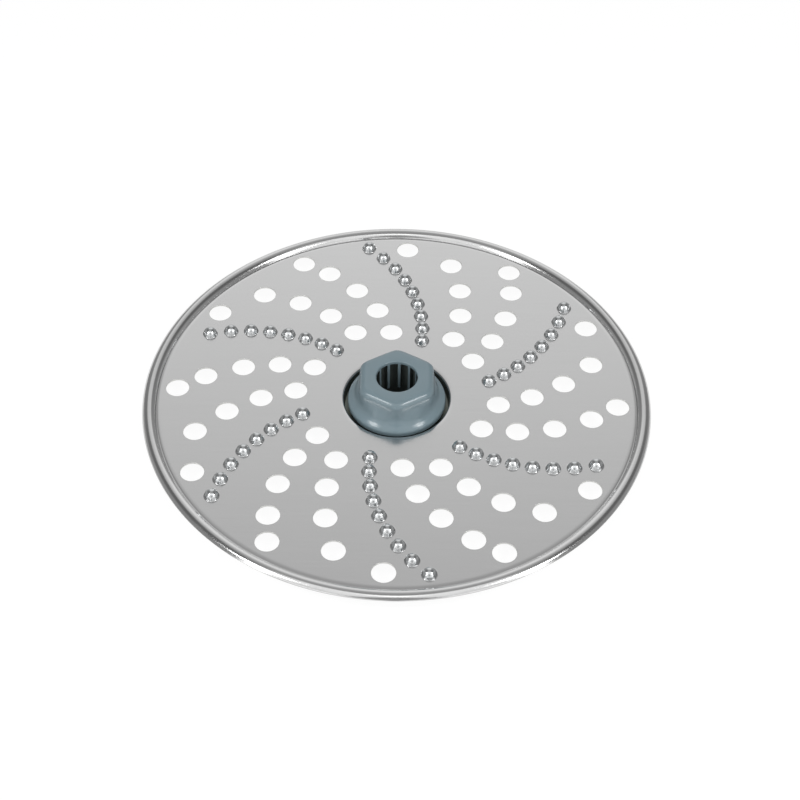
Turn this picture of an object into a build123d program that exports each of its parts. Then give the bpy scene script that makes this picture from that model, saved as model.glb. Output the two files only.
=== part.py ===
import os
from math import acos, cos, degrees, radians, sin, tan

from build123d import *

# Grating disc of a food processor: a pressed steel sheet moulded into a splined plastic hub.
# All lengths are in millimetres. The disc lies on its hub foot at z = 0, bore axis on Z.

# Steel sheet
sheet_thickness = 0.6
flat_outer_radius = 84.75
disc_radius = 89.7
rim_height = 1.6
rim_bead_radius = 2.45
rim_inner_turn = 48
rim_outer_turn = 60
rim_facets = 4

# Sunk seat for the hub at the middle of the sheet
seat_depth = 4.2
seat_wall_radius = 18.9
seat_lip_radius = 19.1
seat_lip_ease = 0.4

# Rows of holes and nubs, all on one swept arc turned about the axis
row_arc_radius = 60.25
row_arc_offset = 61.0
row_arc_phase = 146.8
sector_count = 6
sector_angle = 360 / sector_count
row_angle = sector_angle / 3

# Round holes, placed inwards from the edge of the flat
hole_diameter = 8.2
hole_pitch = 12.0
hole_row_margin = 12.75
hole_row_step = 3.0
holes_in_row = 4
rim_hole_margin = 6.75
rim_hole_count = 12
rim_hole_phase = 57.3

# Raised nubs, placed inwards from the edge of the flat
nub_pitch = 6.18
nub_margin = 5.45
nub_counts = (9, 8, 8)
nub_base_radius = 2.75
nub_hollow_radius = 2.4
nub_height = 2.5
nub_sides = 8
nub_taper = 30

# Plastic hub
foot_thickness = 2.0
foot_radius = 16.2
foot_chamfer = 0.5
collar_radius = 14.0
bell_radius = 17.3
bell_skirt_drop = 1.8
bell_edge_drop = 0.5
bell_edge_pull = 2.4
bell_waist_rise = 4.2
bell_waist_pull = 3.0
bell_waist_inset = 0.3
bell_facets = 4
boss_across_flats = 25.9
boss_draft = 3.0
boss_corner_round = 3.0
boss_top_ease = 1.1
hub_rise = 10.6
neck_across_flats = 22.0

# Drive bore through the hub
mouth_radius = 7.25
mouth_depth = 1.2
bore_chamfer = 0.4
bore_radius = 8.6
guide_radius = 8.9
guide_length = 4.0
rib_count = 12
rib_width = 1.1
rib_height = 1.4
rib_root = 0.6
rib_phase = 83.5

# Derived levels
seat_floor_mid = foot_thickness + sheet_thickness / 2
sheet_mid = seat_floor_mid + seat_depth
sheet_top = sheet_mid + sheet_thickness / 2
sheet_bottom = sheet_mid - sheet_thickness / 2
seat_floor_top = foot_thickness + sheet_thickness
hub_top = sheet_top + hub_rise
bell_skirt = sheet_top - bell_skirt_drop
bell_edge = sheet_top - bell_edge_drop
bell_waist = sheet_top + bell_waist_rise
rim_bead_level = sheet_mid + rim_height - rim_bead_radius
rim_bead_centre = disc_radius - (rim_bead_radius + sheet_thickness / 2) * sin(radians(rim_outer_turn))
hole_row_start = flat_outer_radius - hole_row_margin
rim_hole_radius = flat_outer_radius - rim_hole_margin
nub_row_start = flat_outer_radius - nub_margin
boss_flat = boss_across_flats / 2
boss_base_flat = boss_flat + (hub_top - bell_edge) * tan(radians(boss_draft))
bell_waist_radius = boss_flat - bell_waist_inset
guide_end = bore_chamfer + guide_length
rib_end = hub_top - mouth_depth


def row_bearing(radius):
    """Angle in degrees at which the swept arc of the first nub row crosses a radius."""
    rise = radius**2 + row_arc_offset**2 - row_arc_radius**2
    return row_arc_phase - degrees(acos(rise / (2 * radius * row_arc_offset)))


def at(radius, bearing):
    """Point of the sheet at a radius and a bearing in degrees."""
    return (radius * cos(radians(bearing)), radius * sin(radians(bearing)))


# Hole places: two rows in each sector, then the outer ring
hole_places = []
for sector in range(sector_count):
    for row in range(2):
        for step in range(holes_in_row):
            radius = hole_row_start - (1 - row) * hole_row_step - step * hole_pitch
            turn = sector * sector_angle + (row - 2) * row_angle
            hole_places.append(at(radius, row_bearing(radius) + turn))
for step in range(rim_hole_count):
    hole_places.append(at(rim_hole_radius, rim_hole_phase + step * 360 / rim_hole_count))

# Nub places: one row in each sector, three starts that step in by a third of the pitch
nub_places = []
for sector in range(sector_count):
    start = (0, 2, 1)[sector % 3]
    for step in range(nub_counts[start]):
        radius = nub_row_start - (start / 3 + step) * nub_pitch
        nub_places.append(at(radius, row_bearing(radius) + sector * sector_angle))

# Section of the rolled bead, from its inner slope over the crest to the free edge
bead_points = []
for facet in range(rim_facets + 1):
    turn = radians(facet * (rim_inner_turn + rim_outer_turn) / rim_facets - rim_inner_turn)
    across = rim_bead_centre + rim_bead_radius * sin(turn)
    bead_points.append((across, rim_bead_level + rim_bead_radius * cos(turn)))

# Pressed sheet: one section of even thickness, turned about the axis
with BuildPart() as grating_disc:
    with BuildSketch(Plane.XZ) as sheet_section:
        with BuildLine():
            Polyline(
                (neck_across_flats / 4, seat_floor_mid),
                (seat_wall_radius, seat_floor_mid),
                (seat_lip_radius, sheet_mid - seat_lip_ease),
                (seat_lip_radius + seat_lip_ease, sheet_mid),
                (flat_outer_radius, sheet_mid),
                *bead_points,
            )
        trace(line_width=sheet_thickness)
    revolve(axis=Axis.Z)
    # Six-sided hole in the seat floor, which the hub's neck fills
    with BuildSketch(Plane.XY.offset(foot_thickness - 1)):
        RegularPolygon(neck_across_flats / 2, 6, major_radius=False, rotation=30)
    extrude(amount=sheet_thickness + 2, mode=Mode.SUBTRACT)
    # Round holes through the flat
    with BuildSketch(Plane.XY.offset(sheet_bottom - 1)):
        with Locations(*hole_places):
            Circle(hole_diameter / 2)
    extrude(amount=sheet_thickness + 2, mode=Mode.SUBTRACT)
    # Nubs pressed up out of the flat, each with its hollow underneath
    with BuildSketch(Plane.XY.offset(sheet_top)):
        with Locations(*nub_places):
            RegularPolygon(nub_base_radius, nub_sides)
    extrude(amount=nub_height, taper=nub_taper)
    with BuildSketch(Plane.XY.offset(sheet_bottom)):
        with Locations(*nub_places):
            RegularPolygon(nub_hollow_radius, nub_sides)
    extrude(amount=nub_height, taper=nub_taper, mode=Mode.SUBTRACT)

# Hub: round foot below the seat, six-sided neck through it, bell and boss above
with BuildPart() as hub:
    with BuildSketch():
        Circle(foot_radius)
    extrude(amount=foot_thickness)
    chamfer(hub.edges().group_by(Axis.Z)[0], foot_chamfer)
    with BuildSketch(Plane.XY.offset(foot_thickness)):
        RegularPolygon(neck_across_flats / 2, 6, major_radius=False, rotation=30)
    extrude(amount=sheet_thickness)
    # Collar on the seat floor, and a bell that sweeps from its overhanging skirt up to the boss
    with BuildSketch(Plane.XZ):
        with BuildLine():
            bell_curve = Bezier(
                (bell_radius, bell_edge),
                (bell_radius, bell_edge + bell_edge_pull),
                (bell_waist_radius, bell_waist - bell_waist_pull),
                (bell_waist_radius, bell_waist),
                mode=Mode.PRIVATE,
            )
            Polyline(
                (0, bell_waist),
                (0, seat_floor_top),
                (collar_radius, seat_floor_top),
                (collar_radius, bell_skirt),
                (bell_radius, bell_skirt),
                *[bell_curve @ (facet / bell_facets) for facet in range(bell_facets + 1)],
                close=True,
            )
        make_face()
    revolve(axis=Axis.Z)
    # Six-sided boss with corners to the front and back, drawn in towards its top
    for level, flat in ((bell_edge, boss_base_flat), (hub_top, boss_flat)):
        with BuildSketch(Plane.XY.offset(level)) as boss_section:
            RegularPolygon(flat, 6, major_radius=False, rotation=30)
            fillet(boss_section.vertices(), boss_corner_round)
    loft(ruled=True)
    chamfer(hub.faces().sort_by(Axis.Z)[-1].edges(), boss_top_ease)
    # Bore: a round mouth at the top, a wider ribbed part below it and a plain guide at the foot
    with BuildSketch(Plane.XZ):
        with BuildLine():
            Polyline(
                (0, 0),
                (guide_radius + bore_chamfer, 0),
                (guide_radius, bore_chamfer),
                (guide_radius, guide_end),
                (bore_radius, guide_end),
                (bore_radius, rib_end),
                (mouth_radius, rib_end),
                (mouth_radius, hub_top - bore_chamfer),
                (mouth_radius + bore_chamfer, hub_top),
                (0, hub_top),
                close=True,
            )
        make_face()
    revolve(axis=Axis.Z, mode=Mode.SUBTRACT)
    # Drive ribs on the bore wall, from the guide up to the mouth
    with BuildSketch(Plane.XY.offset(guide_end)):
        with PolarLocations(bore_radius + (rib_root - rib_height) / 2, rib_count, start_angle=rib_phase):
            Rectangle(rib_height + rib_root, rib_width)
    extrude(amount=rib_end - guide_end)

grating_disc.part.label = "grating_disc"
hub.part.label = "hub"

os.makedirs("parts", exist_ok=True)
export_step(grating_disc.part, "parts/grating_disc.step")
export_step(hub.part, "parts/hub.step")
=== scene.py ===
# %% [markdown]
# # A grating disc for a food processor
# The real part is a round stainless sheet with punched holes and pressed nubs, moulded into a
# grey plastic hub. The CAD model fixes every size and place. This lesson gives both pieces a
# smooth mesh, a finish and a studio, without moving anything.

# %% Load the frame
import math

import bmesh
import bpy
from mathutils import Matrix, Vector


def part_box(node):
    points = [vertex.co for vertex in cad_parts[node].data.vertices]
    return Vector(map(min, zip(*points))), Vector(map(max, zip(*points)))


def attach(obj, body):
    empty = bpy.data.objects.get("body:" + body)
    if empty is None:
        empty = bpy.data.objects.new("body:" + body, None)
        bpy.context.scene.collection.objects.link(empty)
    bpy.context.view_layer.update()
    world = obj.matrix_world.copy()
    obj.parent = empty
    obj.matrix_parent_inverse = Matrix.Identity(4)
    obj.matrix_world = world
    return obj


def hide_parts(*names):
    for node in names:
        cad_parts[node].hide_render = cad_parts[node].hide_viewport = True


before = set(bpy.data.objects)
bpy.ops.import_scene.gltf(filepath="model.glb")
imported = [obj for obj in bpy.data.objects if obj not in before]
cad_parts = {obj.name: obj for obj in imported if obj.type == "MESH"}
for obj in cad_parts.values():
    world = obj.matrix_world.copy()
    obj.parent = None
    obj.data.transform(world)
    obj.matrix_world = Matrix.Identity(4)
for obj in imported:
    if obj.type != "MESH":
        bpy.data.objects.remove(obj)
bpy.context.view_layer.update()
MM = 0.001
print("nodes:", sorted(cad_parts))

# %% [markdown]
# ## Levels shared by both pieces
# The hub's foot stands at height zero. The sheet's seat is clamped just above the foot, and the
# flat of the sheet lies a little higher. The outer sizes come from the frame, and every later
# height is measured from these levels, in millimetres.

# %% Levels
sheet_low, sheet_high = [Vector(corner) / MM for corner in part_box("grating_disc")]
hub_high = Vector(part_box("hub")[1]) / MM
DISC_RADIUS = sheet_high.x
BELL_RADIUS = hub_high.x
HUB_TOP = hub_high.z
FOOT_TOP = sheet_low.z
SHEET = 0.6
SEAT_DEPTH = 4.2
SEAT_MID = FOOT_TOP + SHEET / 2
SEAT_TOP = FOOT_TOP + SHEET
FLAT_MID = SEAT_MID + SEAT_DEPTH
FLAT_TOP = FLAT_MID + SHEET / 2
print("disc radius:", round(DISC_RADIUS, 2), "bell radius:", round(BELL_RADIUS, 2))
print("flat top:", round(FLAT_TOP, 2), "hub top:", round(HUB_TOP, 2))

# %% [markdown]
# ## The pressed sheet
# A press draws the sheet from one flat blank, so its thickness is the same everywhere. It could
# be modelled as a closed solid, but then both skins would have to be kept apart by hand. Here
# the mesh is only the middle of the sheet: wires are spun about the axis for the seat, the
# rolled rim and a nub, and a modifier gives the thickness at the end, as the blank did.

# %% Wires and spins
AXIS = Vector((0, 0, 0))


def spun_wire(bm, corners, bends, steps):
    """Spins a wire of (radius, height) corners about the axis.

    Each bend, as (corner, offset, segments), rounds one corner of the wire before the spin.
    """
    before = set(bm.verts)
    verts = [bm.verts.new((r, 0, z)) for r, z in corners]
    for a, b in zip(verts, verts[1:]):
        bm.edges.new((a, b))
    for corner, offset, segments in bends:
        bmesh.ops.bevel(bm, geom=[verts[corner]], offset=offset, offset_type="OFFSET",
                        affect="VERTICES", segments=segments, profile=0.5, material=-1)
    wire = [v for v in bm.verts if v not in before]
    edges = [e for e in bm.edges if e.verts[0] not in before]
    bmesh.ops.spin(bm, geom=wire + edges, cent=AXIS, axis=(0, 0, 1), dvec=AXIS,
                   angle=math.tau, steps=steps, use_merge=True)


# %% Outlines around the axis
NECK_FLAT = 11.0
NECK_SOFTNESS = 60


def pull_to(verts, outline, height):
    """Moves a ring of points to an outline, a radius for each angle, at a height."""
    for v in verts:
        angle = math.atan2(v.co.y, v.co.x)
        radius = outline(angle)
        v.co = (radius * math.cos(angle), radius * math.sin(angle), height)


def six_sided(flat, softness):
    """Outline of a hexagon with rounded corners to the front and back."""
    def outline(angle):
        pull = sum(max(0, math.cos(angle - k * math.pi / 3)) ** softness for k in range(6))
        return flat * pull ** (-1 / softness)
    return outline


neck = six_sided(NECK_FLAT, NECK_SOFTNESS)
print("neck across its corners:", round(2 * neck(math.pi / 2), 2))

# %% [markdown]
# ## Seat and rim
# The seat is a shallow dish with a six-sided hole, which keeps the hub from turning. The rim is
# rolled into a round bead, stiff and safe to hold, with a shallow groove along its foot where
# the roller pressed. A bevel of a whole mesh would round every edge alike, so each bend is drawn
# in the wire, with as many points as it needs.

# %% Sunk seat
RIM_STEPS = 240
SEAT_RING = 14.0
SEAT_WALL_FOOT = 18.9
SEAT_WALL_TOP = 19.1
FLAT_START = 20.4
SEAT_FOOT_BEND = 0.6
SEAT_LIP_BEND = 0.32
TOUCH = 0.01
sheet_bm = bmesh.new()
seat_corners = [(SEAT_RING, SEAT_MID), (SEAT_WALL_FOOT, SEAT_MID),
                (SEAT_WALL_TOP, FLAT_MID), (FLAT_START, FLAT_MID)]
spun_wire(sheet_bm, seat_corners, [(1, SEAT_FOOT_BEND, 5), (2, SEAT_LIP_BEND, 4)], RIM_STEPS)
ring_edges = [e for e in sheet_bm.edges
              if all(abs(v.co.xy.length - SEAT_RING) < TOUCH for v in e.verts)]
seat_inner = bmesh.ops.extrude_edge_only(sheet_bm, edges=ring_edges)["geom"]
pull_to([g for g in seat_inner if isinstance(g, bmesh.types.BMVert)], neck, SEAT_MID)
print("seat:", len(sheet_bm.faces), "faces")

# %% Rolled rim
FLAT_EDGE = 84.75
RIM_HEIGHT = 1.6
RIM_FOOT = 0.35
BEAD = 2.45
BEAD_OUT = math.radians(60)
BEAD_LEVEL = FLAT_MID + RIM_HEIGHT - BEAD
BEAD_CENTRE = DISC_RADIUS - (BEAD + SHEET / 2) * math.sin(BEAD_OUT)
GROOVE_WIDTH = 1.5
GROOVE_DEPTH = 0.15
GROOVE_LEVEL = FLAT_MID - GROOVE_DEPTH
BEAD_IN = math.acos((GROOVE_LEVEL + RIM_FOOT - BEAD_LEVEL) / (BEAD + RIM_FOOT))
FLAT_BAND = 0.4
GROOVE_PARTS, RIM_FOOT_PARTS, BEAD_PARTS = 8, 5, 24
rim_foot = BEAD_CENTRE - (BEAD + RIM_FOOT) * math.sin(BEAD_IN)
rim_corners = [(rim_foot - GROOVE_WIDTH - FLAT_BAND, FLAT_MID)]
for k in range(GROOVE_PARTS + 1):
    share = k / GROOVE_PARTS
    rim_corners.append((rim_foot - GROOVE_WIDTH * (1 - share),
                        FLAT_MID - GROOVE_DEPTH * share**2))
for k in range(1, RIM_FOOT_PARTS + 1):
    turn = BEAD_IN * k / RIM_FOOT_PARTS
    rim_corners.append((rim_foot + RIM_FOOT * math.sin(turn),
                        GROOVE_LEVEL + RIM_FOOT * (1 - math.cos(turn))))
for k in range(1, BEAD_PARTS + 1):
    turn = (BEAD_IN + BEAD_OUT) * k / BEAD_PARTS - BEAD_IN
    rim_corners.append((BEAD_CENTRE + BEAD * math.sin(turn), BEAD_LEVEL + BEAD * math.cos(turn)))
spun_wire(sheet_bm, rim_corners, [], RIM_STEPS)
print("seat and rim:", len(sheet_bm.faces), "faces")

# %% [markdown]
# ## Rows on a swept arc
# Holes and nubs lie on copies of one arc, turned about the axis: in each sixth of the disc two
# rows of holes follow one row of nubs. The nub rows start at three different radii, a third of
# a pitch apart, so that together they rasp the whole width. The places are worked out from the
# arc and not typed in, so a changed pitch moves the whole pattern.

# %% The arc
ARC_RADIUS = 60.25
ARC_OFFSET = 61.0
ARC_PHASE = 146.8
SECTORS = 6
SECTOR = 360 / SECTORS


def polar(radius, bearing):
    """A point of the flat, from its distance to the axis and its bearing in degrees."""
    turn = math.radians(bearing)
    return Vector((radius * math.cos(turn), radius * math.sin(turn), 0))


def arc_bearing(radius):
    """Bearing at which the arc of the first nub row crosses a radius."""
    rise = radius**2 + ARC_OFFSET**2 - ARC_RADIUS**2
    return ARC_PHASE - math.degrees(math.acos(rise / (2 * radius * ARC_OFFSET)))


print("bearing at the edge of the flat:", round(arc_bearing(FLAT_EDGE), 1))

# %% Places of the holes
RING_MARGIN = 6.75
RING_PHASE = 57.3
RING_COUNT = 12
ROW_MARGIN = 12.75
ROW_STEP = 3.0
ROW_COUNT = 4
HOLE_PITCH = 12.0
hole_places = [polar(FLAT_EDGE - RING_MARGIN, RING_PHASE + 360 / RING_COUNT * step)
               for step in range(RING_COUNT)]
for sector in range(SECTORS):
    for row in (0, 1):
        for step in range(ROW_COUNT):
            radius = FLAT_EDGE - ROW_MARGIN - ROW_STEP * (1 - row) - HOLE_PITCH * step
            turn = SECTOR * (sector + (row - 2) / 3)
            hole_places.append(polar(radius, arc_bearing(radius) + turn))
print("holes:", len(hole_places))

# %% Places of the nubs
NUB_MARGIN = 5.45
NUB_PITCH = 6.18
NUB_COUNTS = (9, 8, 8)
NUB_STARTS = (0, 2, 1)
nub_places = []
for sector in range(SECTORS):
    start = NUB_STARTS[sector % 3]
    for step in range(NUB_COUNTS[start]):
        radius = FLAT_EDGE - NUB_MARGIN - NUB_PITCH * (start / 3 + step)
        nub_places.append(polar(radius, arc_bearing(radius) + SECTOR * sector))
print("nubs:", len(nub_places))

# %% [markdown]
# ## Nubs
# A round punch pushes each nub up out of the flat, so it is a small dome on a steep wall with a
# soft foot. A sphere would meet the flat in a hard line. Instead one wire runs over the tip,
# down the wall and around the foot, ends in a narrow flat ring, and is spun once. The other nubs
# are copies of that mesh.

# %% Section of a nub
NUB_HEIGHT = 2.5
NUB_TIP = 2.2
NUB_FOOT = 0.5
NUB_SLOPE = math.radians(75)
NUB_REACH = 3.05
TIP_PARTS, NUB_FOOT_PARTS = 7, 5
wall_drop = NUB_HEIGHT - (NUB_TIP + NUB_FOOT) * (1 - math.cos(NUB_SLOPE))
foot_reach = (NUB_TIP + NUB_FOOT) * math.sin(NUB_SLOPE) + wall_drop / math.tan(NUB_SLOPE)
nub_wire = []
for k in range(TIP_PARTS + 1):
    turn = NUB_SLOPE * k / TIP_PARTS
    nub_wire.append((NUB_TIP * math.sin(turn),
                     FLAT_MID + NUB_HEIGHT - NUB_TIP * (1 - math.cos(turn))))
for k in range(NUB_FOOT_PARTS, -1, -1):
    turn = NUB_SLOPE * k / NUB_FOOT_PARTS
    nub_wire.append((foot_reach - NUB_FOOT * math.sin(turn),
                     FLAT_MID + NUB_FOOT * (1 - math.cos(turn))))
nub_wire.append((NUB_REACH, FLAT_MID))
print("nub foot radius:", round(foot_reach, 2), "straight wall:", round(wall_drop, 2))

# %% One nub, copied to every place
NUB_STEPS = 26
MERGE = 0.002
nub_bm = bmesh.new()
spun_wire(nub_bm, nub_wire, [], NUB_STEPS)
bmesh.ops.remove_doubles(nub_bm, verts=nub_bm.verts, dist=MERGE)
nub_mesh = bpy.data.meshes.new("nub_pattern")
nub_bm.to_mesh(nub_mesh)
nub_bm.free()
for place in nub_places:
    known = len(sheet_bm.verts)
    sheet_bm.from_mesh(nub_mesh)
    sheet_bm.verts.ensure_lookup_table()
    bmesh.ops.translate(sheet_bm, vec=place, verts=sheet_bm.verts[known:])
bpy.data.meshes.remove(nub_mesh)
print("with nubs:", len(sheet_bm.faces), "faces")

# %% [markdown]
# ## Holes and the flat
# The holes are punched, with clean round walls. Cutting them with booleans would leave long thin
# faces. Here each hole starts as a circle at the height of the flat, and the flat is then filled
# between all the open edges at once: the seat, the nubs, the holes and the rim.

# %% A mesh becomes a piece
def finish_piece(name, bm, node):
    """Turns a mesh in millimetres into a piece in metres that stands for its CAD node."""
    bmesh.ops.transform(bm, matrix=Matrix.Scale(MM, 4), verts=bm.verts)
    mesh = bpy.data.meshes.new(name)
    bm.to_mesh(mesh)
    bm.free()
    piece = bpy.data.objects.new(name, mesh)
    bpy.context.scene.collection.objects.link(piece)
    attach(piece, "root")
    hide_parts(node)
    for polygon in mesh.polygons:
        polygon.use_smooth = True
    print(name, "faces:", len(mesh.polygons))
    return piece


# %% Holes and the flat between them
HOLE_RADIUS = 4.1
HOLE_STEPS = 48
for place in hole_places:
    bmesh.ops.create_circle(sheet_bm, cap_ends=False, radius=HOLE_RADIUS, segments=HOLE_STEPS,
                            matrix=Matrix.Translation(place + Vector((0, 0, FLAT_MID))))
open_edges = [e for e in sheet_bm.edges if len(e.link_faces) < 2
              and all(abs(v.co.z - FLAT_MID) < TOUCH for v in e.verts)]
bmesh.ops.triangle_fill(sheet_bm, use_beauty=True, use_dissolve=False, edges=open_edges)
bmesh.ops.recalc_face_normals(sheet_bm, faces=sheet_bm.faces)
if sum(f.normal.z for f in sheet_bm.faces) < 0:
    bmesh.ops.reverse_faces(sheet_bm, faces=sheet_bm.faces)
grating = finish_piece("grating_sheet", sheet_bm, "grating_disc")

# %% [markdown]
# ## Thickness and punched edges
# The flat, the sheared edges, the nubs and the seat each get a finish of their own, so their
# faces are numbered first. Solidify then grows the sheet evenly to both sides of its middle, and
# a fine bevel breaks the sharp edges, as deburring does on the real disc.

# %% Faces of the seat and the nubs
SHEARED, STRETCHED, SEAT_SHADE = 1, 2, 3
SEAT_REACH = 19.05
NUB_RISE = 0.12
NUB_FREE = 2.0
# Faces of the sunk seat take a darker finish, which is painted shade for the gap around the hub;
# faces of the nubs take their own steel.
for polygon in grating.data.polygons:
    middle = polygon.center / MM
    if middle.xy.length < SEAT_REACH:
        polygon.material_index = SEAT_SHADE
    elif middle.z > FLAT_MID + NUB_RISE and middle.xy.length < FLAT_EDGE - NUB_FREE:
        polygon.material_index = STRETCHED
zones = [polygon.material_index for polygon in grating.data.polygons]
print("faces of the nubs:", zones.count(STRETCHED), "of the seat:", zones.count(SEAT_SHADE))

# %% Thickness and bevel
EDGE_EASE = 0.1
EDGE_ANGLE = math.radians(60)
wall = grating.modifiers.new("thickness", "SOLIDIFY")
wall.thickness = SHEET * MM
wall.offset = 0
wall.use_even_offset = True
wall.material_offset_rim = SHEARED
edge = grating.modifiers.new("punched_edges", "BEVEL")
edge.width = EDGE_EASE * MM
edge.segments = 2
edge.limit_method = "ANGLE"
edge.angle_limit = EDGE_ANGLE
edge.harden_normals = True
edge.material = SHEARED
print("modifiers:", [modifier.name for modifier in grating.modifiers])

# %% [markdown]
# ## The hub
# The hub is one moulding: a six-sided boss that flows into a round bell, a collar and a neck
# through the seat, and a flat foot. Joining a hexagon to a turned bell would leave a seam. Here
# one ring of points is extruded from level to level and each new ring is pulled to its own
# outline, so the six sides melt into the circle.

# %% Hub outlines
MOUTH = 7.25
BORE = 8.6
GUIDE = 8.9
RIB_COUNT = 12
RIB_PHASE = 83.5
RIB_WIDTH = 1.1
RIB_HEIGHT = 1.4
RIB_TIP = BORE - RIB_HEIGHT


def round_one(radius):
    """Outline of a circle."""
    return lambda angle: radius


def ribbed(angle):
    """Outline of the bore with its drive ribs."""
    turn = math.degrees(angle) - RIB_PHASE
    pitch = 360 / RIB_COUNT
    off = abs((turn + pitch / 2) % pitch - pitch / 2)
    return RIB_TIP if math.radians(off) * RIB_TIP <= RIB_WIDTH / 2 else BORE


def between(inner, outer, share):
    """Outline part of the way from one to another."""
    return lambda angle: inner(angle) + (outer(angle) - inner(angle)) * share


print("ribs:", RIB_COUNT, "across their tips:", round(2 * RIB_TIP, 2))

# %% Boss outline
BOSS_FLAT = 12.95
BOSS_DRAFT = math.tan(math.radians(3))
SOFTNESS = 15
NECK_ROUND = 14.3
MELT_TOP = HUB_TOP - 2.6
MELT_FOOT = FLAT_TOP + 3.6


def boss_at(height):
    """Outline at a height: six sides at the top that melt into a round neck further down."""
    melt = min(1, max(0, (MELT_TOP - height) / (MELT_TOP - MELT_FOOT)))
    melt = 3 * melt**2 - 2 * melt**3
    hexagon = six_sided(BOSS_FLAT + (HUB_TOP - height) * BOSS_DRAFT, SOFTNESS)
    return between(hexagon, round_one(NECK_ROUND), melt)


print("boss across its corners at the top:", round(2 * boss_at(HUB_TOP)(math.pi / 2), 2))

# %% Levels of the foot and collar
FOOT_RADIUS = 16.2
FOOT_CHAMFER = 0.5
FOOT_RING = 12.0
GUIDE_CHAMFER = 0.4
COLLAR = 14.0
SKIRT = FLAT_TOP - 1.8
SKIRT_EASE = 0.2
levels = [
    (round_one(GUIDE + GUIDE_CHAMFER), 0),
    (round_one(FOOT_RING), 0),
    (round_one(FOOT_RADIUS - FOOT_CHAMFER), 0),
    (round_one(FOOT_RADIUS), FOOT_CHAMFER),
    (round_one(FOOT_RADIUS), FOOT_TOP),
    (neck, FOOT_TOP),
    (neck, SEAT_TOP),
    (round_one(COLLAR), SEAT_TOP),
    (round_one(COLLAR), SKIRT),
    (round_one(BELL_RADIUS - SKIRT_EASE), SKIRT),
    (round_one(BELL_RADIUS), SKIRT + SKIRT_EASE),
]
print("foot and collar levels:", len(levels))

# %% Levels of the bell and boss
TOP_ROUND = 2.3
BELL_EDGE = FLAT_TOP - 0.5
BELL_EDGE_PULL = 2.2
BELL_WAIST = FLAT_TOP + 5.6
BELL_WAIST_PULL = 5.0
BELL_PARTS, SIDE_PARTS, ROUND_PARTS = 20, 10, 10
QUARTER = [math.radians(90 * k / ROUND_PARTS) for k in range(ROUND_PARTS + 1)]
boss = boss_at(HUB_TOP - TOP_ROUND)
boss_in = six_sided(BOSS_FLAT - TOP_ROUND, SOFTNESS)
for k in range(BELL_PARTS + 1):
    s = k / BELL_PARTS
    edge_share = (1 - s) ** 3 + 3 * s * (1 - s) ** 2
    height = (BELL_EDGE * edge_share + BELL_EDGE_PULL * 3 * s * (1 - s) ** 2
              + BELL_WAIST * (1 - edge_share) - BELL_WAIST_PULL * 3 * s**2 * (1 - s))
    levels.append((between(boss_at(height), round_one(BELL_RADIUS), edge_share), height))
for k in range(1, SIDE_PARTS):
    height = BELL_WAIST + (HUB_TOP - TOP_ROUND - BELL_WAIST) * k / SIDE_PARTS
    levels.append((boss_at(height), height))
for turn in QUARTER:
    levels.append((between(boss_in, boss, math.cos(turn)),
                   HUB_TOP - TOP_ROUND + TOP_ROUND * math.sin(turn)))
print("levels up to the top edge:", len(levels))

# %% Levels of the top and bore
MOUTH_EASE = 0.4
RIB_TOP = HUB_TOP - 1.2
GUIDE_END = 4.4
levels.append((between(round_one(MOUTH + MOUTH_EASE), boss_in, 0.5), HUB_TOP))
for turn in QUARTER[::2]:
    levels.append((round_one(MOUTH + MOUTH_EASE * (1 - math.sin(turn))),
                   HUB_TOP - MOUTH_EASE * (1 - math.cos(turn))))
levels += [
    (round_one(MOUTH), RIB_TOP),
    (ribbed, RIB_TOP),
    (ribbed, GUIDE_END),
    (round_one(GUIDE), GUIDE_END),
    (round_one(GUIDE), GUIDE_CHAMFER),
]
print("hub levels:", len(levels))

# %% Hub mesh
HUB_STEPS = 288
hub_bm = bmesh.new()
ring = bmesh.ops.create_circle(hub_bm, cap_ends=False, radius=1, segments=HUB_STEPS)["verts"]
pull_to(ring, *levels[0])
edges = list(hub_bm.edges)
first = list(edges)
for outline, height in levels[1:]:
    made = bmesh.ops.extrude_edge_only(hub_bm, edges=edges)["geom"]
    new_verts = {g for g in made if isinstance(g, bmesh.types.BMVert)}
    pull_to(new_verts, outline, height)
    edges = [g for g in made if isinstance(g, bmesh.types.BMEdge) and set(g.verts) <= new_verts]
bmesh.ops.bridge_loops(hub_bm, edges=edges + first)
bmesh.ops.recalc_face_normals(hub_bm, faces=hub_bm.faces)
hub = finish_piece("hub_moulding", hub_bm, "hub")

# %% Sharp edges, and faces of the bore
SHARP = math.radians(40)
BORE_SHADE = 1
BORE_SHADE_INNER = MOUTH + 0.3
BORE_SHADE_OUTER = GUIDE + 0.1
hub.data.set_sharp_from_angle(angle=SHARP)
for polygon in hub.data.polygons:
    middle = polygon.center / MM
    # Faces inside the bore take a darker finish, which is painted shade for the deep bore.
    if BORE_SHADE_INNER < middle.xy.length < BORE_SHADE_OUTER and middle.z < RIB_TOP:
        polygon.material_index = BORE_SHADE
zones = [polygon.material_index for polygon in hub.data.polygons]
print("faces of the bore:", zones.count(BORE_SHADE))

# %% [markdown]
# ## Finishes
# Colours are written as they would be picked from a picture, in sRGB, and turned to linear for
# the shaders. Each finish starts from the plain material and then takes the small unevenness
# that rolling, shearing or moulding leaves. Noise on Object coordinates makes it, because a
# pattern in real sizes needs no picture and stays in place on the piece.

# %% Helpers for finishes
def linear(code):
    """An sRGB hex colour as linear red, green, blue and alpha."""
    parts = [int(code[i:i + 2], 16) / 255 for i in (0, 2, 4)]
    return [c / 12.92 if c <= 0.04045 else ((c + 0.055) / 1.055) ** 2.4 for c in parts] + [1]


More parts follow.
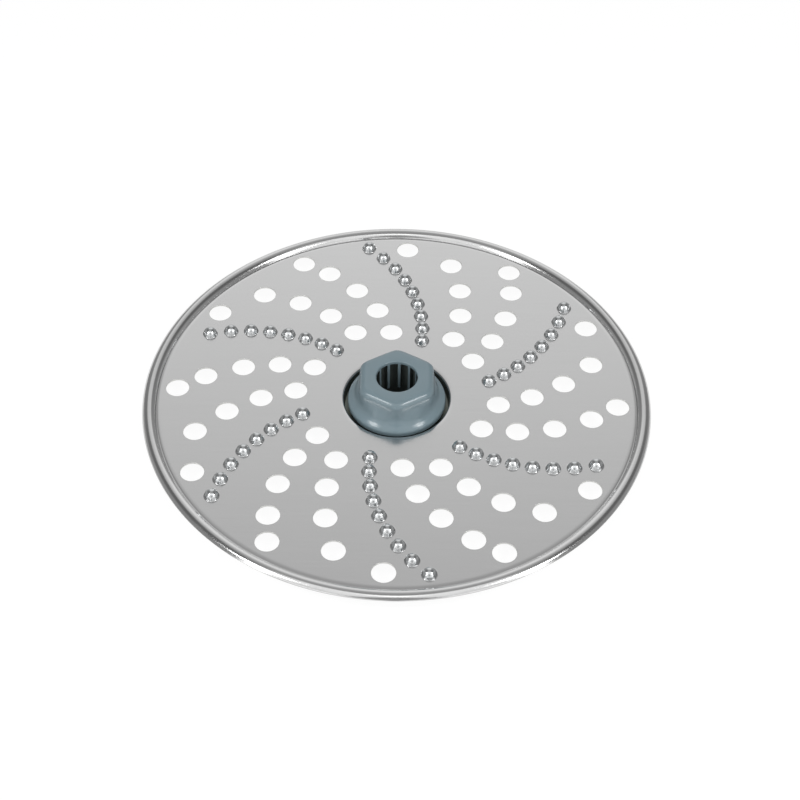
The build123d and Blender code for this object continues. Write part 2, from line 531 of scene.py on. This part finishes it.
def add_node(tree, kind, links=(), **settings):
    """Adds a node, gives its sockets values and links, and returns it."""
    node = tree.nodes.new(kind)
    for key, value in settings.items():
        if key in node.inputs:
            node.inputs[key].default_value = value
        else:
            setattr(node, key, value)
    for source, target in links:
        tree.links.new(source, node.inputs[target])
    return node


def new_finish(name, piece):
    """Adds a material to a piece and returns its node tree and its shader."""
    finish = bpy.data.materials.new(name)
    finish.use_nodes = True
    piece.data.materials.append(finish)
    print("finish:", name, "on", piece.name, "in slot", len(piece.data.materials) - 1)
    return finish.node_tree, finish.node_tree.nodes["Principled BSDF"]


print("middle grey in linear:", round(linear("808080")[0], 3))

# %% [markdown]
# ### Satin stainless steel
# The flat and the rim are cold-rolled sheet, finely polished: soft reflections with a faint
# grain along the rolling direction. An anisotropic shader could draw the grain, but a stretched
# noise in the roughness shows it from every side and survives the export.

# %% Satin stainless steel
# The real grain is finer than a pixel, so it is drawn half a millimetre wide.
GRAIN_WIDTH = 0.5 * MM
GRAIN_LENGTH = 18 * MM
STEEL_ROUGHNESS = (0.13, 0.21)
tree, metal = new_finish("satin_stainless_steel", grating)
metal.inputs["Metallic"].default_value = 1.0
where = add_node(tree, "ShaderNodeTexCoord")
along = add_node(tree, "ShaderNodeMapping", [(where.outputs["Object"], "Vector")],
                 Scale=(1 / GRAIN_LENGTH, 1 / GRAIN_WIDTH, 1 / GRAIN_WIDTH))
grain = add_node(tree, "ShaderNodeTexNoise", [(along.outputs["Vector"], "Vector")],
                 Scale=1.0, Detail=3.0)
gloss = add_node(tree, "ShaderNodeMapRange", [(grain.outputs["Fac"], "Value")])
gloss.inputs["To Min"].default_value, gloss.inputs["To Max"].default_value = STEEL_ROUGHNESS
tint = add_node(tree, "ShaderNodeMix", [(grain.outputs["Fac"], "Factor")],
                data_type="RGBA", A=linear("CDCDCD"), B=linear("D4D4D4"))
tree.links.new(gloss.outputs["Result"], metal.inputs["Roughness"])
tree.links.new(tint.outputs["Result"], metal.inputs["Base Color"])

# %% [markdown]
# ### Sheared steel edge
# The walls of the holes and the free edge are sheared, not polished: as light as the flat, but
# much duller and torn a little unevenly. A high roughness that varies gives that, and keeps the
# fine bevels from glinting.

# %% Sheared steel edge
# Real tears are finer than a pixel, so they are drawn about a pixel wide.
TEAR = 0.4 * MM
SHEARED_ROUGHNESS = (0.4, 0.6)
tree, torn = new_finish("sheared_steel_edge", grating)
torn.inputs["Metallic"].default_value = 1.0
torn.inputs["Base Color"].default_value = linear("D2D2D0")
where = add_node(tree, "ShaderNodeTexCoord")
tears = add_node(tree, "ShaderNodeTexNoise", [(where.outputs["Object"], "Vector")],
                 Scale=1 / TEAR, Detail=2.0)
gloss = add_node(tree, "ShaderNodeMapRange", [(tears.outputs["Fac"], "Value")])
gloss.inputs["To Min"].default_value, gloss.inputs["To Max"].default_value = SHEARED_ROUGHNESS
tree.links.new(gloss.outputs["Result"], torn.inputs["Roughness"])

# %% [markdown]
# ### Stretched steel of the nubs
# Pressing stretches the skin of a nub and leaves it less smooth than the flat, so its lights are
# wider and softer. The flat's finish with a coarser noise and more roughness gives that.

# %% Stretched steel of the nubs
# The real grain of a stretched skin is finer than a pixel, so it is drawn two pixels wide.
SKIN = 0.7 * MM
NUB_ROUGHNESS = (0.20, 0.28)
tree, pale = new_finish("stretched_nub_steel", grating)
pale.inputs["Metallic"].default_value = 1.0
where = add_node(tree, "ShaderNodeTexCoord")
skin = add_node(tree, "ShaderNodeTexNoise", [(where.outputs["Object"], "Vector")],
                Scale=1 / SKIN, Detail=2.0)
gloss = add_node(tree, "ShaderNodeMapRange", [(skin.outputs["Fac"], "Value")])
gloss.inputs["To Min"].default_value, gloss.inputs["To Max"].default_value = NUB_ROUGHNESS
tint = add_node(tree, "ShaderNodeMix", [(skin.outputs["Fac"], "Factor")],
                data_type="RGBA", A=linear("CCCECF"), B=linear("D6D8D9"))
tree.links.new(gloss.outputs["Result"], pale.inputs["Roughness"])
tree.links.new(tint.outputs["Result"], pale.inputs["Base Color"])

# %% [markdown]
# ### Painted shade on the steel of the sunk seat
# The seat under the hub is left rough, and its metal is painted darker in broad patches: painted
# shade for the deep gap around the hub. A darker metal does this without a second layer.

# %% Painted shade on the steel of the sunk seat
SEAT_SHADE_PATCH = 2.5 * MM
tree, shaded_seat = new_finish("seat_steel_painted_shade", grating)
shaded_seat.inputs["Metallic"].default_value = 1.0
shaded_seat.inputs["Roughness"].default_value = 0.5
where = add_node(tree, "ShaderNodeTexCoord")
seat_shade_patches = add_node(tree, "ShaderNodeTexNoise", [(where.outputs["Object"], "Vector")],
                   Scale=1 / SEAT_SHADE_PATCH, Detail=2.0)
# Painted shade: the seat's metal is much darker than the flat, mixed in broad patches.
seat_shade_tint = add_node(tree, "ShaderNodeMix", [(seat_shade_patches.outputs["Fac"], "Factor")],
                data_type="RGBA", A=linear("8A908A"), B=linear("9CA29B"))
tree.links.new(seat_shade_tint.outputs["Result"], shaded_seat.inputs["Base Color"])

# %% [markdown]
# ### Moulded grey plastic
# The hub comes from a polished tool: a blue grey with a slight gloss, faint clouding where the
# melt flowed, and a very fine grain. Two noises do this, a broad one for the colour and a fine
# one for the gloss and a slight bump.

# %% Moulded grey plastic
# The real pores are finer than a pixel, so they are drawn about a pixel wide.
CLOUD = 7 * MM
PORE = 0.35 * MM
PORE_DEPTH = 0.05 * MM
PLASTIC_ROUGHNESS = (0.15, 0.21)
tree, resin = new_finish("moulded_grey_plastic", hub)
where = add_node(tree, "ShaderNodeTexCoord")
cloud = add_node(tree, "ShaderNodeTexNoise", [(where.outputs["Object"], "Vector")],
                 Scale=1 / CLOUD, Detail=2.0)
tint = add_node(tree, "ShaderNodeMix", [(cloud.outputs["Fac"], "Factor")],
                data_type="RGBA", A=linear("74868D"), B=linear("7B8D95"))
pores = add_node(tree, "ShaderNodeTexNoise", [(where.outputs["Object"], "Vector")],
                 Scale=1 / PORE, Detail=2.0)
gloss = add_node(tree, "ShaderNodeMapRange", [(pores.outputs["Fac"], "Value")])
gloss.inputs["To Min"].default_value, gloss.inputs["To Max"].default_value = PLASTIC_ROUGHNESS
bump = add_node(tree, "ShaderNodeBump", [(pores.outputs["Fac"], "Height")],
                Strength=0.08, Distance=PORE_DEPTH)
tree.links.new(tint.outputs["Result"], resin.inputs["Base Color"])
tree.links.new(gloss.outputs["Result"], resin.inputs["Roughness"])
tree.links.new(bump.outputs["Normal"], resin.inputs["Normal"])

# %% [markdown]
# ### Painted shade in the bore
# Between the drive ribs the plastic is painted darker: painted shade for the deep bore. It is the
# same moulding, so it stays one mesh, and only the faces of the bore take this darker finish.

# %% Painted shade on the plastic of the bore
BORE_SHADE_BLOTCH = 3 * MM
tree, bore_shade = new_finish("bore_plastic_painted_shade", hub)
bore_shade.inputs["Roughness"].default_value = 0.45
where = add_node(tree, "ShaderNodeTexCoord")
bore_shade_blotches = add_node(tree, "ShaderNodeTexNoise", [(where.outputs["Object"], "Vector")],
                  Scale=1 / BORE_SHADE_BLOTCH, Detail=2.0)
# Painted shade: a dark plastic colour with blotches, much darker than the rest of the hub.
tint = add_node(tree, "ShaderNodeMix", [(bore_shade_blotches.outputs["Fac"], "Factor")],
                data_type="RGBA", A=linear("383E3C"), B=linear("4E5553"))
tree.links.new(tint.outputs["Result"], bore_shade.inputs["Base Color"])

# %% [markdown]
# ## Studio
# The disc lies on white. Two large soft boxes hang above the camera to the left and right with
# a dark gap between them, two wide ones stand low at the front, a narrow strip stands at each
# side, and the back wall is pale. Polished steel shows all of these: the gap and the dark bands
# give the nubs and the rim their form. A small bright lamp at each side draws the sharp lights
# on the hub.

# %% Camera
# The lens and its shift are measured in pixels of an 800 by 800 picture.
PICTURE = 800
FOCAL = 1743
SHIFT = (3.3, -2.2)
SENSOR = 36
DISTANCE = 617.3 * MM
NEAREST = 10 * MM
ELEVATION = math.radians(46.74)
ROLL = math.radians(0.57)
target = Vector((0, 0, FLAT_MID * MM))
toward = Vector((0, -math.cos(ELEVATION), math.sin(ELEVATION)))
right = Vector((1, 0, 0))
up = toward.cross(right)
right_rolled = right * math.cos(ROLL) + up * math.sin(ROLL)
up_rolled = up * math.cos(ROLL) - right * math.sin(ROLL)
camera_data = bpy.data.cameras.new("camera")
camera_data.lens = SENSOR * FOCAL / PICTURE
camera_data.sensor_width = SENSOR
camera_data.shift_x = SHIFT[0] / PICTURE
camera_data.shift_y = SHIFT[1] / PICTURE
camera_data.clip_start = NEAREST
camera = bpy.data.objects.new("camera", camera_data)
bpy.context.scene.collection.objects.link(camera)
turn = Matrix((right_rolled, up_rolled, toward)).transposed().to_4x4()
camera.matrix_world = Matrix.Translation(target + toward * DISTANCE) @ turn
bpy.context.scene.camera = camera
bpy.context.scene.view_settings.view_transform = "Standard"
print("lens:", round(camera_data.lens, 2), "distance:", round(DISTANCE / MM, 1))

# %% Soft boxes
def soft_box(name, place, size, radiance):
    """An area lamp with its face turned to the disc and an even brightness over its face."""
    lamp = bpy.data.lights.new(name, "AREA")
    lamp.shape = "RECTANGLE"
    lamp.size, lamp.size_y = size
    lamp.energy = radiance * math.pi * size[0] * size[1]
    box = bpy.data.objects.new(name, lamp)
    bpy.context.scene.collection.objects.link(box)
    box.location = place
    box.rotation_euler = (-Vector(place)).to_track_quat("-Z", "Y").to_euler()
    print("lamp:", name, "watts:", round(lamp.energy, 2))


for side, sign in (("left", -1), ("right", 1)):
    soft_box("front_" + side, place=(sign * 0.36, -0.46, 0.68), size=(0.62, 1.10), radiance=0.8)
    soft_box("low_front_" + side, place=(sign * 0.39, -0.80, 0.17), size=(0.75, 0.40),
             radiance=0.7)
    soft_box("strip_" + side, place=(sign * 0.671, -0.506, 0.374), size=(0.16, 0.60),
             radiance=1.6)
    soft_box("spot_" + side, place=(sign * 0.526, -0.294, 0.669), size=(0.22, 0.22),
             radiance=10.0)

# %% [markdown]
# ### White paper floor
# The paper looks white to the camera and in the steel, but throws little light onto the disc.
# More lamps would wash the object out, so the paper is a matt grey that keeps the shadow, with a
# glow that only the camera and mirrors see. Under the hub the glow fades out: the real paper lies
# in the dark there, and a glow would shine up through the bore.

# %% Floor
FLOOR_REACH = 3.0
floor_bm = bmesh.new()
bmesh.ops.create_grid(floor_bm, x_segments=1, y_segments=1, size=FLOOR_REACH)
floor_mesh = bpy.data.meshes.new("floor")
floor_bm.to_mesh(floor_mesh)
floor_bm.free()
floor = bpy.data.objects.new("floor", floor_mesh)
bpy.context.scene.collection.objects.link(floor)
print("floor reaches:", [round(c, 2) for c in max(v.co.to_tuple() for v in floor_mesh.vertices)])

# %% Paper
DARK_REACH = 15 * MM
GLOW_START = 19 * MM
tree, matt = new_finish("white_paper", floor)
matt.inputs["Base Color"].default_value = linear("6A6A6A")
matt.inputs["Roughness"].default_value = 0.9
matt.inputs["Specular IOR Level"].default_value = 0.0
rays = add_node(tree, "ShaderNodeLightPath")
mirrored = add_node(tree, "ShaderNodeMath", [(rays.outputs["Is Glossy Ray"], 0),
                                             (rays.outputs["Is Transmission Ray"], 1)],
                    operation="MAXIMUM")
seen = add_node(tree, "ShaderNodeMath", [(rays.outputs["Is Camera Ray"], 0),
                                         (mirrored.outputs[0], 1)], operation="MAXIMUM")
where = add_node(tree, "ShaderNodeTexCoord")
reach = add_node(tree, "ShaderNodeVectorMath", [(where.outputs["Object"], 0)],
                 operation="LENGTH")
clear = add_node(tree, "ShaderNodeMapRange", [(reach.outputs["Value"], "Value")])
clear.inputs["From Min"].default_value = DARK_REACH
clear.inputs["From Max"].default_value = GLOW_START
lit = add_node(tree, "ShaderNodeMath", [(seen.outputs[0], 0), (clear.outputs["Result"], 1)],
               operation="MULTIPLY")
glow = add_node(tree, "ShaderNodeEmission", [(lit.outputs[0], "Strength")],
                Color=linear("F3F3F3"))
both = add_node(tree, "ShaderNodeAddShader", [(matt.outputs["BSDF"], 0),
                                              (glow.outputs["Emission"], 1)])
tree.links.new(both.outputs["Shader"], tree.nodes["Material Output"].inputs["Surface"])

# %% [markdown]
# ### Pale back wall in the surroundings
# Steel needs something to mirror. A picture of a studio could do it, but two ramps are enough:
# one by depth, palest a little above the back horizon and dim behind the camera, and one by
# width, with a dark band at each side of the wall and the far sides pale again.

# %% Back wall
BACK_WALL = 1.2
DIMMEST = 0.04
DEPTH_STOPS = [(0, 0.25), (0.45, 0.35), (0.6, 0.49), (0.75, 0.74), (0.87, 0.9), (0.97, 0.65),
               (1, 0.55)]
WIDTH_STOPS = [(0, 1), (0.27, 1), (0.37, 0.35), (0.45, 0.3), (0.7, 0.32), (0.85, 0.9), (1, 1)]
world = bpy.data.worlds.new("studio")
bpy.context.scene.world = world
world.use_nodes = True
tree = world.node_tree
sky = tree.nodes["Background"]
sky.inputs["Color"].default_value = linear("FFFFFF")
where = add_node(tree, "ShaderNodeTexCoord")
parts = add_node(tree, "ShaderNodeSeparateXYZ", [(where.outputs["Generated"], "Vector")])
aside = add_node(tree, "ShaderNodeMath", [(parts.outputs["X"], 0)], operation="ABSOLUTE")
ramps = []
for source, stops in ((parts.outputs["Y"], DEPTH_STOPS), (aside.outputs[0], WIDTH_STOPS)):
    ramp = add_node(tree, "ShaderNodeValToRGB", [(source, 0)])
    while len(ramp.color_ramp.elements) < len(stops):
        ramp.color_ramp.elements.new(0.5)
    for element, (position, level) in zip(ramp.color_ramp.elements, stops):
        element.position = position
        element.color = (level, level, level, 1)
    ramps.append(ramp.outputs["Color"])
level = add_node(tree, "ShaderNodeMath", [(ramps[0], 0), (ramps[1], 1)], operation="MULTIPLY")
strength = add_node(tree, "ShaderNodeMath", [(level.outputs[0], 0)], operation="MULTIPLY_ADD")
strength.inputs[1].default_value = BACK_WALL
strength.inputs[2].default_value = DIMMEST
tree.links.new(strength.outputs[0], sky.inputs["Strength"])
print("world stops by depth:", len(DEPTH_STOPS), "by width:", len(WIDTH_STOPS))
